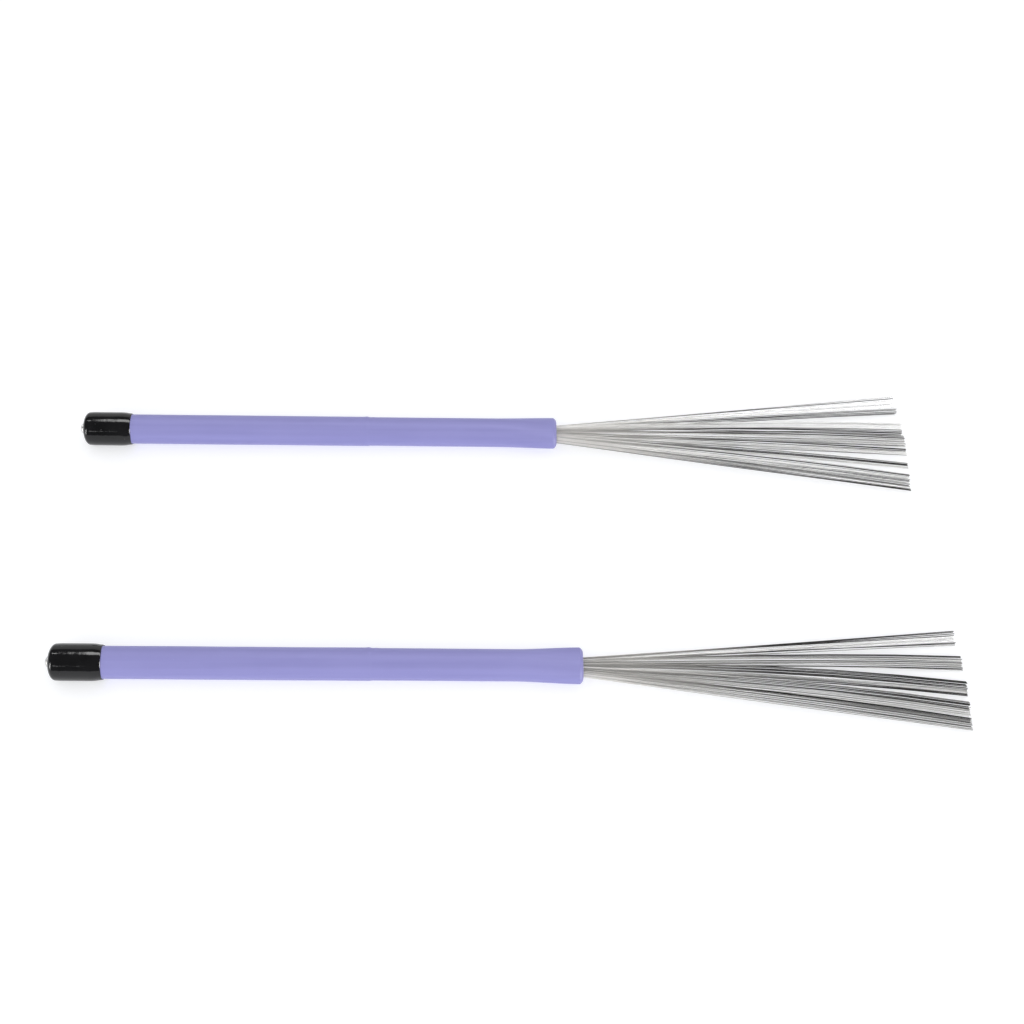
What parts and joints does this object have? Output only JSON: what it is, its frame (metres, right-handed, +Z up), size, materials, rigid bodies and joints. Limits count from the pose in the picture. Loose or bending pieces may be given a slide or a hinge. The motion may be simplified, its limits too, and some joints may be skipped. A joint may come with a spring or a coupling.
{
  "type": "retractable wire drum brushes",
  "caption": "Pair of retractable drum brushes: rubber-covered tube handles with black butt caps and fans of fine steel wire that a pull rod draws inside.",
  "frame": {"origin": "middle of the pair's bounding box, on the surface they lie on", "axes": "+X towards the wire tips, +Y from the front brush to the back brush, +Z up"},
  "size_m": [0.3468, 0.1652, 0.014],
  "materials": {
    "grip_rubber": "matte lavender rubber",
    "cap_vinyl": "glossy black dipped vinyl",
    "tube_aluminium": "drawn aluminium tube",
    "rod_steel": "ground steel rod",
    "button_nickel": "polished nickel",
    "ferrule_brass": "crimped brass",
    "bush_nylon": "natural nylon",
    "black_rubber": "matte black rubber",
    "wire_steel": "fine drawn steel wire"
  },
  "bodies": {
    "front_handle": {"front_handle_tube": "tube_aluminium", "front_grip": "grip_rubber", "front_butt_cap": "cap_vinyl", "front_rod_bush": "bush_nylon", "front_rod_seal": "black_rubber", "front_bumper": "black_rubber"},
    "front_rod": {"front_pull_rod": "rod_steel", "front_end_button": "button_nickel", "front_ferrule": "ferrule_brass", "front_guide": "bush_nylon"},
    "front_tuft_1_wires": {"front_tuft_1": "wire_steel"},
    "front_tuft_2_wires": {"front_tuft_2": "wire_steel"},
    "front_tuft_3_wires": {"front_tuft_3": "wire_steel"},
    "front_tuft_4_wires": {"front_tuft_4": "wire_steel"},
    "front_tuft_5_wires": {"front_tuft_5": "wire_steel"},
    "back_handle": {"back_handle_tube": "tube_aluminium", "back_grip": "grip_rubber", "back_butt_cap": "cap_vinyl", "back_rod_bush": "bush_nylon", "back_rod_seal": "black_rubber", "back_bumper": "black_rubber"},
    "back_rod": {"back_pull_rod": "rod_steel", "back_end_button": "button_nickel", "back_ferrule": "ferrule_brass", "back_guide": "bush_nylon"},
    "back_tuft_1_wires": {"back_tuft_1": "wire_steel"},
    "back_tuft_2_wires": {"back_tuft_2": "wire_steel"},
    "back_tuft_3_wires": {"back_tuft_3": "wire_steel"},
    "back_tuft_4_wires": {"back_tuft_4": "wire_steel"},
    "back_tuft_5_wires": {"back_tuft_5": "wire_steel"},
    "back_tuft_6_wires": {"back_tuft_6": "wire_steel"},
    "back_tuft_7_wires": {"back_tuft_7": "wire_steel"},
    "back_tuft_8_wires": {"back_tuft_8": "wire_steel"}
  },
  "joints": [
    {"name": "front_pull", "type": "slide", "parent": "front_handle", "child": "front_rod", "axis": [-1, 0, 0.0066], "range_m": [0, 0.147], "deforming": ["front_tuft_1", "front_tuft_2", "front_tuft_3", "front_tuft_4", "front_tuft_5"]},
    {"name": "front_tuft_1_close", "type": "hinge", "parent": "front_rod", "child": "front_tuft_1_wires", "pos_m": [0.01013, -0.05652, 0.00565], "axis": [-0.0064, -0.2065, -0.9784], "range_deg": [0, 5.68]},
    {"name": "front_tuft_2_close", "type": "hinge", "parent": "front_rod", "child": "front_tuft_2_wires", "pos_m": [0.01014, -0.0571, 0.00594], "axis": [-0.0079, -0.581, -0.8138], "range_deg": [0, 1.92]},
    {"name": "front_tuft_3_close", "type": "hinge", "parent": "front_rod", "child": "front_tuft_3_wires", "pos_m": [0.01014, -0.05772, 0.00596], "axis": [0.006, -0.43, 0.9028], "range_deg": [0, 2.57]},
    {"name": "front_tuft_4_close", "type": "hinge", "parent": "front_rod", "child": "front_tuft_4_wires", "pos_m": [0.01014, -0.05833, 0.00598], "axis": [0.0076, -0.2033, 0.9791], "range_deg": [0, 5.4]},
    {"name": "front_tuft_5_close", "type": "hinge", "parent": "front_rod", "child": "front_tuft_5_wires", "pos_m": [0.01014, -0.05903, 0.00601], "axis": [0.0082, -0.141, 0.99], "range_deg": [0, 7.74]},
    {"name": "back_lift", "type": "slide", "parent": "front_handle", "child": "back_handle", "axis": [0, 0, 1], "range_m": [0, 0.15]},
    {"name": "back_pull", "type": "slide", "parent": "back_handle", "child": "back_rod", "axis": [-1, 0.003, 0.0066], "range_m": [0, 0.147], "deforming": ["back_tuft_1", "back_tuft_2", "back_tuft_3", "back_tuft_4", "back_tuft_5", "back_tuft_6", "back_tuft_7", "back_tuft_8"]},
    {"name": "back_tuft_1_close", "type": "hinge", "parent": "back_rod", "child": "back_tuft_1_wires", "pos_m": [0.00214, 0.05863, 0.0058], "axis": [-0.0074, -0.1344, -0.9909], "range_deg": [0, 8.16]},
    {"name": "back_tuft_2_close", "type": "hinge", "parent": "back_rod", "child": "back_tuft_2_wires", "pos_m": [0.00214, 0.05824, 0.00571], "axis": [-0.0069, -0.1797, -0.9837], "range_deg": [0, 6.21]},
    {"name": "back_tuft_3_close", "type": "hinge", "parent": "back_rod", "child": "back_tuft_3_wires", "pos_m": [0.00214, 0.05786, 0.00592], "axis": [-0.0089, -0.4037, -0.9149], "range_deg": [0, 2.66]},
    {"name": "back_tuft_4_close", "type": "hinge", "parent": "back_rod", "child": "back_tuft_4_wires", "pos_m": [0.00214, 0.05736, 0.0059], "axis": [-0.0039, -0.9999, -0.0111], "range_deg": [0, 1.09]},
    {"name": "back_tuft_5_close", "type": "hinge", "parent": "back_rod", "child": "back_tuft_5_wires", "pos_m": [0.00214, 0.05695, 0.00607], "axis": [0.0062, -0.4318, 0.9019], "range_deg": [0, 2.41]},
    {"name": "back_tuft_6_close", "type": "hinge", "parent": "back_rod", "child": "back_tuft_6_wires", "pos_m": [0.00213, 0.05659, 0.00576], "axis": [0.0057, -0.2289, 0.9734], "range_deg": [0, 4.83]},
    {"name": "back_tuft_7_close", "type": "hinge", "parent": "back_rod", "child": "back_tuft_7_wires", "pos_m": [0.00213, 0.05629, 0.00607], "axis": [0.0078, -0.1474, 0.989], "range_deg": [0, 7.04]},
    {"name": "back_tuft_8_close", "type": "hinge", "parent": "back_rod", "child": "back_tuft_8_wires", "pos_m": [0.00213, 0.05579, 0.00606], "axis": [0.0081, -0.1205, 0.9927], "range_deg": [0, 8.64]}
  ],
  "couplings": [
    {"joint": "front_tuft_1_close", "follows": "front_pull", "rad_per_m": 0.67146},
    {"joint": "front_tuft_2_close", "follows": "front_pull", "rad_per_m": 0.2251},
    {"joint": "front_tuft_3_close", "follows": "front_pull", "rad_per_m": 0.30278},
    {"joint": "front_tuft_4_close", "follows": "front_pull", "rad_per_m": 0.63864},
    {"joint": "front_tuft_5_close", "follows": "front_pull", "rad_per_m": 0.91675},
    {"joint": "back_tuft_1_close", "follows": "back_pull", "rad_per_m": 0.96669},
    {"joint": "back_tuft_2_close", "follows": "back_pull", "rad_per_m": 0.73461},
    {"joint": "back_tuft_3_close", "follows": "back_pull", "rad_per_m": 0.31296},
    {"joint": "back_tuft_4_close", "follows": "back_pull", "rad_per_m": 0.12696},
    {"joint": "back_tuft_5_close", "follows": "back_pull", "rad_per_m": 0.28395},
    {"joint": "back_tuft_6_close", "follows": "back_pull", "rad_per_m": 0.57151},
    {"joint": "back_tuft_7_close", "follows": "back_pull", "rad_per_m": 0.83352},
    {"joint": "back_tuft_8_close", "follows": "back_pull", "rad_per_m": 1.0236}
  ]
}
